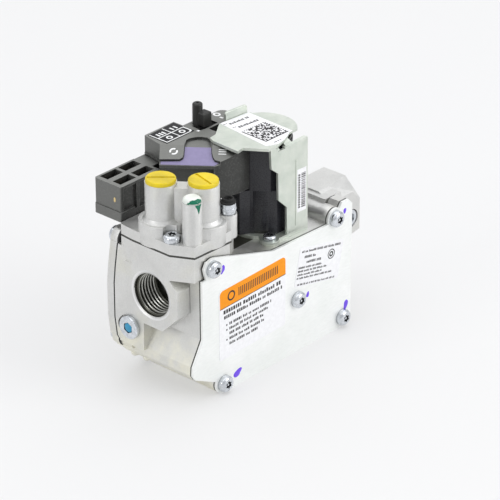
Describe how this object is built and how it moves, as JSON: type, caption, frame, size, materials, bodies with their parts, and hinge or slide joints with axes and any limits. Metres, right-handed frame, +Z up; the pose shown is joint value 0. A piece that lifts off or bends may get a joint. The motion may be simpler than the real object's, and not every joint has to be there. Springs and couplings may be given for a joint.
{
  "type": "gas valve",
  "caption": "Two-stage combination gas control valve with threaded ports, pressure regulator, solenoid, plug connector and on/off lever.",
  "frame": {"origin": "centre of the inlet port face", "axes": "+X along the gas way from inlet to outlet port, -Y out of the flat front cover, +Z up through the regulator towers"},
  "size_m": [0.128, 0.0629, 0.1154],
  "materials": {
    "cast_aluminium": "as cast, lightly blasted",
    "plated_sheet": "rolled sheet, satin",
    "zinc_steel": "zinc plated, passivated",
    "gasket": "matt fibre sheet",
    "rubber": "matt",
    "screw_steel": "bright zinc plated",
    "spring_steel": "bright wire",
    "yellow_plastic": "moulded, satin",
    "white_plastic": "moulded, satin",
    "black_rubber": "moulded",
    "black_plastic": "moulded, fine texture",
    "copper": "enamelled wire",
    "brass": "bright",
    "label_white": "coated label",
    "label_black": "printed label",
    "label_purple": "printed label"
  },
  "bodies": {
    "valve": {"actuator_cover": "black_plastic", "bar_code_label": "label_white", "colour_label": "label_purple", "connector_housing": "black_plastic", "connector_terminals": "brass", "front_cover_gasket": "gasket", "front_cover_plate": "plated_sheet", "front_cover_screws": "screw_steel", "high_fire_bobbin": "black_plastic", "high_fire_core_tube": "screw_steel", "high_fire_spring": "spring_steel", "high_fire_winding": "copper", "high_regulator_spring": "spring_steel", "inlet_screen": "spring_steel", "instruction_label": "label_white", "low_regulator_spring": "spring_steel", "main_coil": "black_plastic", "main_coil_bobbin": "black_plastic", "main_core_tube": "screw_steel", "main_plunger_spring": "spring_steel", "main_pole_piece": "screw_steel", "main_valve_spring": "spring_steel", "matrix_code_label": "label_white", "mode_label": "label_black", "rating_label": "label_white", "rear_cover": "cast_aluminium", "rear_cover_screws": "screw_steel", "regulator_diaphragms": "rubber", "regulator_gasket": "gasket", "regulator_housing": "cast_aluminium", "regulator_screws": "screw_steel", "regulator_spring_seats": "cast_aluminium", "solenoid_base": "zinc_steel", "solenoid_base_screws": "screw_steel", "solenoid_yoke": "zinc_steel", "switch_contacts": "brass", "test_port_cap": "white_plastic", "valve_body": "cast_aluminium", "valve_diaphragm": "rubber", "vent_fitting": "screw_steel", "vent_nipple": "black_rubber", "yoke_rear_leg": "zinc_steel"},
    "on_off_lever": {"on_off_lever": "black_plastic", "switch_wiper": "brass"},
    "low_fire_cap": {"low_fire_cap": "yellow_plastic"},
    "high_fire_cap": {"high_fire_cap": "yellow_plastic"},
    "low_adjusting_screw": {"low_adjusting_screw": "white_plastic"},
    "high_adjusting_screw": {"high_adjusting_screw": "white_plastic"},
    "main_plunger": {"main_plunger": "screw_steel", "first_valve_disc": "rubber"},
    "high_fire_plunger": {"high_fire_plunger": "screw_steel"},
    "main_valve": {"main_valve_stem": "screw_steel", "main_valve_disc": "rubber", "diaphragm_plate": "screw_steel"},
    "inlet_tap_plug": {"inlet_tap_plug": "screw_steel"},
    "outlet_tap_plug": {"outlet_tap_plug": "screw_steel"}
  },
  "joints": [
    {"name": "lever_turn", "type": "hinge", "parent": "valve", "child": "on_off_lever", "pos_m": [0.0604, 0.027, 0.0548], "axis": [0, 0, 1], "range_deg": [0, 60]},
    {"name": "low_cap_turn", "type": "hinge", "parent": "valve", "child": "low_fire_cap", "pos_m": [0.0093, 0.0019, 0.0526], "axis": [0, 0, 1], "continuous": true},
    {"name": "high_cap_turn", "type": "hinge", "parent": "valve", "child": "high_fire_cap", "pos_m": [0.0205, -0.0132, 0.0526], "axis": [0, 0, 1], "continuous": true},
    {"name": "low_screw_travel", "type": "slide", "parent": "valve", "child": "low_adjusting_screw", "axis": [0, 0, 1], "range_m": [-0.003, 0.002], "deforming": ["low_regulator_spring"]},
    {"name": "high_screw_travel", "type": "slide", "parent": "valve", "child": "high_adjusting_screw", "axis": [0, 0, 1], "range_m": [-0.003, 0.002], "deforming": ["high_regulator_spring"]},
    {"name": "main_plunger_lift", "type": "slide", "parent": "valve", "child": "main_plunger", "axis": [0, 0, 1], "range_m": [0, 0.003], "stiffness_N_per_m": 150, "springref_m": -0.006, "deforming": ["main_plunger_spring"]},
    {"name": "high_fire_plunger_lift", "type": "slide", "parent": "valve", "child": "high_fire_plunger", "axis": [0, 0, 1], "range_m": [0, 0.0015], "stiffness_N_per_m": 80, "springref_m": -0.003, "deforming": ["high_fire_spring"]},
    {"name": "main_valve_open", "type": "slide", "parent": "valve", "child": "main_valve", "axis": [0, -1, 0], "range_m": [0, 0.003], "stiffness_N_per_m": 120, "springref_m": -0.008, "deforming": ["main_valve_spring", "valve_diaphragm"]},
    {"name": "inlet_tap_turn", "type": "hinge", "parent": "valve", "child": "inlet_tap_plug", "pos_m": [0, 0.013, -0.0205], "axis": [-1, 0, 0], "continuous": true},
    {"name": "outlet_tap_turn", "type": "hinge", "parent": "valve", "child": "outlet_tap_plug", "pos_m": [0.1195, -0.0142, -0.0017], "axis": [0, -1, 0], "continuous": true}
  ]
}
